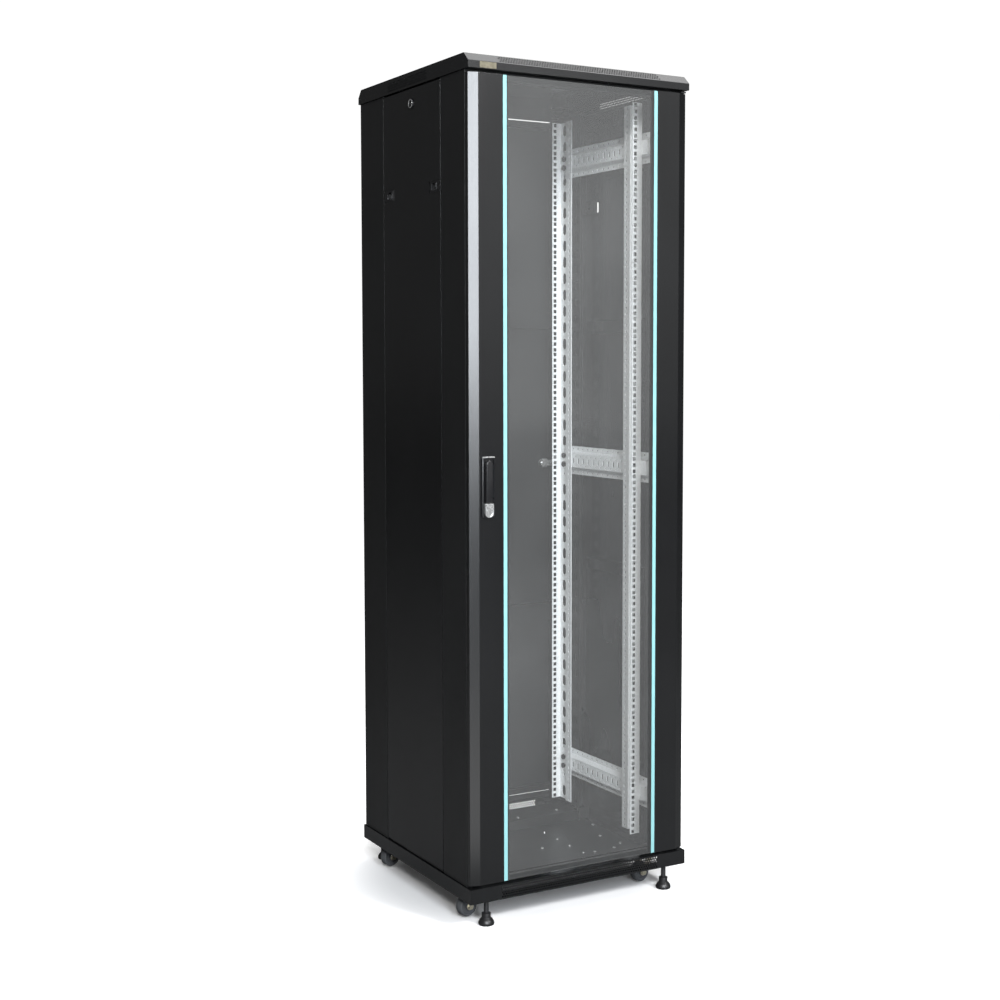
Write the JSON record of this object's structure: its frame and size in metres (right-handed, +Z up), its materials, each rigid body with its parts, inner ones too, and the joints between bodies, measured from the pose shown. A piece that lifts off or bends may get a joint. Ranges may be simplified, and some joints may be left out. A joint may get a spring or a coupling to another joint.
{
  "type": "network server rack cabinet",
  "caption": "Free-standing rack cabinet with perforated mounting rails, glazed front door, steel rear door, lift-off side panels, castors and levelling feet.",
  "frame": {"origin": "centre of the footprint, on the floor under the levelling feet", "axes": "+Z up, the glazed front door faces -Y, +X is to the right when facing the front door"},
  "size_m": [0.614, 0.6316, 2.035],
  "materials": {
    "frame_paint": "fine-texture powder coat, charcoal",
    "outer_paint": "fine-texture powder coat, charcoal",
    "zinc": "bright galvanised sheet",
    "black_steel": "black oxide",
    "castor_zinc": "yellowish zinc plate",
    "castor_tread": "moulded nylon",
    "foot_plastic": "moulded nylon over steel",
    "plate": "satin blank plate",
    "door_glass": "tempered, faint grey",
    "edge_print": "pale cyan edge strip",
    "black_plastic": "fine moulded texture",
    "lock_metal": "satin chrome"
  },
  "bodies": {
    "cabinet": {"plinth_frame": "outer_paint", "bottom_panel": "frame_paint", "castor_cross_members": "frame_paint", "top_cover": "outer_paint", "corner_post_front_left": "frame_paint", "corner_post_front_right": "frame_paint", "corner_post_rear_left": "frame_paint", "corner_post_rear_right": "frame_paint", "top_beam_front": "frame_paint", "rear_sill": "frame_paint", "fan_cover": "outer_paint", "depth_rails_left": "zinc", "depth_rails_right": "zinc", "mounting_rail_front_left": "zinc", "mounting_rail_front_right": "zinc", "mounting_rail_rear_left": "zinc", "mounting_rail_rear_right": "zinc", "depth_rail_brackets": "zinc", "frame_bolts": "black_steel", "hinge_brackets": "frame_paint", "castor_plates": "castor_zinc", "foot_lock_nuts": "black_steel", "label_plate": "plate"},
    "front_door": {"door_stile_left": "outer_paint", "door_stile_right": "outer_paint", "door_glass": "door_glass", "glass_edge_strips": "edge_print", "door_end_channels": "frame_paint", "lock_escutcheon": "black_plastic", "lock_cylinder": "lock_metal"},
    "handle_spindle": {"lock_spindle": "lock_metal"},
    "swing_handle": {"swing_handle": "black_plastic"},
    "key_plug": {"key_plug": "lock_metal"},
    "rear_door": {"rear_door": "outer_paint", "rear_lock_body": "lock_metal"},
    "rear_lock_knob": {"rear_lock_knob": "lock_metal"},
    "side_panel_left": {"side_panel_left": "outer_paint", "panel_lock_body_left": "black_plastic"},
    "panel_lock_plug_left": {"panel_lock_plug_left": "lock_metal"},
    "side_latch_left_front": {"side_latch_left_front": "black_plastic"},
    "side_latch_left_rear": {"side_latch_left_rear": "black_plastic"},
    "side_panel_right": {"side_panel_right": "outer_paint", "panel_lock_body_right": "black_plastic"},
    "panel_lock_plug_right": {"panel_lock_plug_right": "lock_metal"},
    "side_latch_right_front": {"side_latch_right_front": "black_plastic"},
    "side_latch_right_rear": {"side_latch_right_rear": "black_plastic"},
    "castor_fork_front_left": {"castor_fork_front_left": "castor_zinc"},
    "castor_wheel_front_left": {"castor_wheel_front_left": "castor_tread"},
    "foot_front_left": {"foot_front_left": "foot_plastic"},
    "castor_fork_front_right": {"castor_fork_front_right": "castor_zinc"},
    "castor_wheel_front_right": {"castor_wheel_front_right": "castor_tread"},
    "foot_front_right": {"foot_front_right": "foot_plastic"},
    "castor_fork_rear_left": {"castor_fork_rear_left": "castor_zinc"},
    "castor_wheel_rear_left": {"castor_wheel_rear_left": "castor_tread"},
    "foot_rear_left": {"foot_rear_left": "foot_plastic"},
    "castor_fork_rear_right": {"castor_fork_rear_right": "castor_zinc"},
    "castor_wheel_rear_right": {"castor_wheel_rear_right": "castor_tread"},
    "foot_rear_right": {"foot_rear_right": "foot_plastic"}
  },
  "joints": [
    {"name": "front_door_swing", "type": "hinge", "parent": "cabinet", "child": "front_door", "pos_m": [0.299, -0.29, 1.046], "axis": [0, 0, 1], "range_deg": [0, 120]},
    {"name": "handle_turn", "type": "hinge", "parent": "front_door", "child": "handle_spindle", "pos_m": [-0.257, -0.304, 1.1], "axis": [0, -1, 0], "range_deg": [0, 90]},
    {"name": "handle_lift", "type": "hinge", "parent": "handle_spindle", "child": "swing_handle", "pos_m": [-0.257, -0.3108, 1.1], "axis": [-1, 0, 0], "range_deg": [0, 25]},
    {"name": "key_turn", "type": "hinge", "parent": "front_door", "child": "key_plug", "pos_m": [-0.257, -0.304, 0.984], "axis": [0, -1, 0], "range_deg": [0, 90]},
    {"name": "rear_door_swing", "type": "hinge", "parent": "cabinet", "child": "rear_door", "pos_m": [-0.2595, 0.2985, 1.046], "axis": [0, 0, 1], "range_deg": [0, 120]},
    {"name": "rear_lock_turn", "type": "hinge", "parent": "rear_door", "child": "rear_lock_knob", "pos_m": [0.243, 0.303, 1.05], "axis": [0, 1, 0], "range_deg": [0, 90]},
    {"name": "side_panel_left_pull", "type": "slide", "parent": "cabinet", "child": "side_panel_left", "axis": [-1, 0, 0], "range_m": [0, 0.15]},
    {"name": "panel_lock_left_turn", "type": "hinge", "parent": "side_panel_left", "child": "panel_lock_plug_left", "pos_m": [-0.303, 0, 1.96], "axis": [-1, 0, 0], "range_deg": [0, 90]},
    {"name": "side_latch_left_front_slide", "type": "slide", "parent": "side_panel_left", "child": "side_latch_left_front", "axis": [0, 1, 0], "range_m": [0, 0.008], "stiffness_N_per_m": 300},
    {"name": "side_latch_left_rear_slide", "type": "slide", "parent": "side_panel_left", "child": "side_latch_left_rear", "axis": [0, -1, 0], "range_m": [0, 0.008], "stiffness_N_per_m": 300},
    {"name": "side_panel_right_pull", "type": "slide", "parent": "cabinet", "child": "side_panel_right", "axis": [1, 0, 0], "range_m": [0, 0.15]},
    {"name": "panel_lock_right_turn", "type": "hinge", "parent": "side_panel_right", "child": "panel_lock_plug_right", "pos_m": [0.303, 0, 1.96], "axis": [1, 0, 0], "range_deg": [0, 90]},
    {"name": "side_latch_right_front_slide", "type": "slide", "parent": "side_panel_right", "child": "side_latch_right_front", "axis": [0, 1, 0], "range_m": [0, 0.008], "stiffness_N_per_m": 300},
    {"name": "side_latch_right_rear_slide", "type": "slide", "parent": "side_panel_right", "child": "side_latch_right_rear", "axis": [0, -1, 0], "range_m": [0, 0.008], "stiffness_N_per_m": 300},
    {"name": "castor_front_left_swivel", "type": "hinge", "parent": "cabinet", "child": "castor_fork_front_left", "pos_m": [-0.25, -0.217, 0.0665], "axis": [0, 0, 1], "continuous": true},
    {"name": "castor_front_left_spin", "type": "hinge", "parent": "castor_fork_front_left", "child": "castor_wheel_front_left", "pos_m": [-0.27445, -0.2222, 0.03], "axis": [0.2079, -0.9781, 0], "continuous": true},
    {"name": "foot_front_left_height", "type": "slide", "parent": "cabinet", "child": "foot_front_left", "axis": [0, 0, 1], "range_m": [-0.01, 0.012]},
    {"name": "castor_front_right_swivel", "type": "hinge", "parent": "cabinet", "child": "castor_fork_front_right", "pos_m": [0.25, -0.217, 0.0665], "axis": [0, 0, 1], "continuous": true},
    {"name": "castor_front_right_spin", "type": "hinge", "parent": "castor_fork_front_right", "child": "castor_wheel_front_right", "pos_m": [0.22555, -0.2222, 0.03], "axis": [0.2079, -0.9781, 0], "continuous": true},
    {"name": "foot_front_right_height", "type": "slide", "parent": "cabinet", "child": "foot_front_right", "axis": [0, 0, 1], "range_m": [-0.01, 0.012]},
    {"name": "castor_rear_left_swivel", "type": "hinge", "parent": "cabinet", "child": "castor_fork_rear_left", "pos_m": [-0.25, 0.217, 0.0665], "axis": [0, 0, 1], "continuous": true},
    {"name": "castor_rear_left_spin", "type": "hinge", "parent": "castor_fork_rear_left", "child": "castor_wheel_rear_left", "pos_m": [-0.27445, 0.2118, 0.03], "axis": [0.2079, -0.9781, 0], "continuous": true},
    {"name": "foot_rear_left_height", "type": "slide", "parent": "cabinet", "child": "foot_rear_left", "axis": [0, 0, 1], "range_m": [-0.01, 0.012]},
    {"name": "castor_rear_right_swivel", "type": "hinge", "parent": "cabinet", "child": "castor_fork_rear_right", "pos_m": [0.25, 0.217, 0.0665], "axis": [0, 0, 1], "continuous": true},
    {"name": "castor_rear_right_spin", "type": "hinge", "parent": "castor_fork_rear_right", "child": "castor_wheel_rear_right", "pos_m": [0.22555, 0.2118, 0.03], "axis": [0.2079, -0.9781, 0], "continuous": true},
    {"name": "foot_rear_right_height", "type": "slide", "parent": "cabinet", "child": "foot_rear_right", "axis": [0, 0, 1], "range_m": [-0.01, 0.012]}
  ]
}
